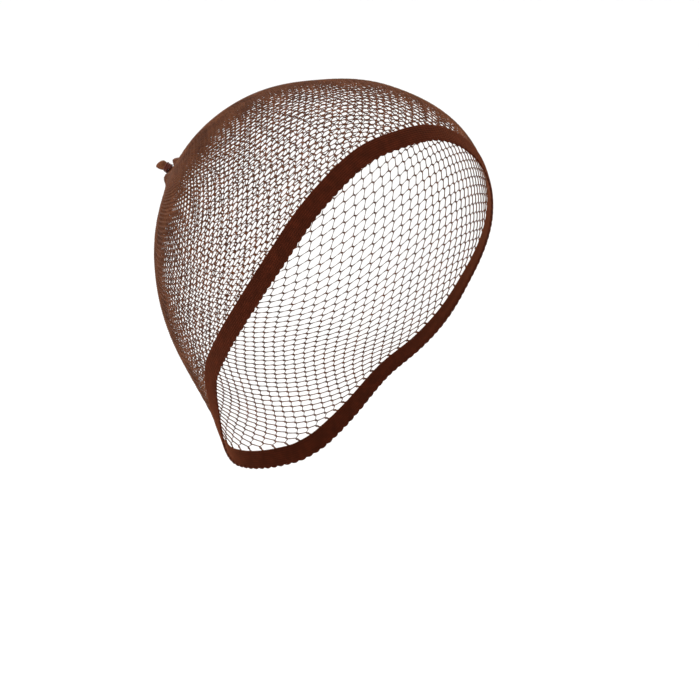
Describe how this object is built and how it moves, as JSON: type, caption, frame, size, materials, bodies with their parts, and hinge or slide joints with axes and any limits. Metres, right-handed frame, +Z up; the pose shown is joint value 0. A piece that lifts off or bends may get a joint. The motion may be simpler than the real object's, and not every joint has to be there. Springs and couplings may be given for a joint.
{
  "type": "wig cap",
  "caption": "Close-fitting knitted net cap, gathered and tied behind the crown, with a narrow elastic band round its opening, worn under a wig.",
  "frame": {"origin": "the crown seat: the highest point of the head inside the cap, on the net's inner face", "axes": "+Z up, the wearer looks along -Y, the wearer's right side is -X"},
  "size_m": [0.1557, 0.1808, 0.1988],
  "materials": {
    "net": "brown nylon yarn, open knitted net",
    "band": "dark brown elastic knit, matt",
    "tie_thread": "wound red-brown nylon thread, slight sheen",
    "tuft": "bunched brown nylon yarn, slight sheen"
  },
  "bodies": {
    "root": {"net_crown": "net", "edge_band": "band", "gather_tie": "tie_thread", "gather_tuft": "tuft"}
  },
  "joints": []
}
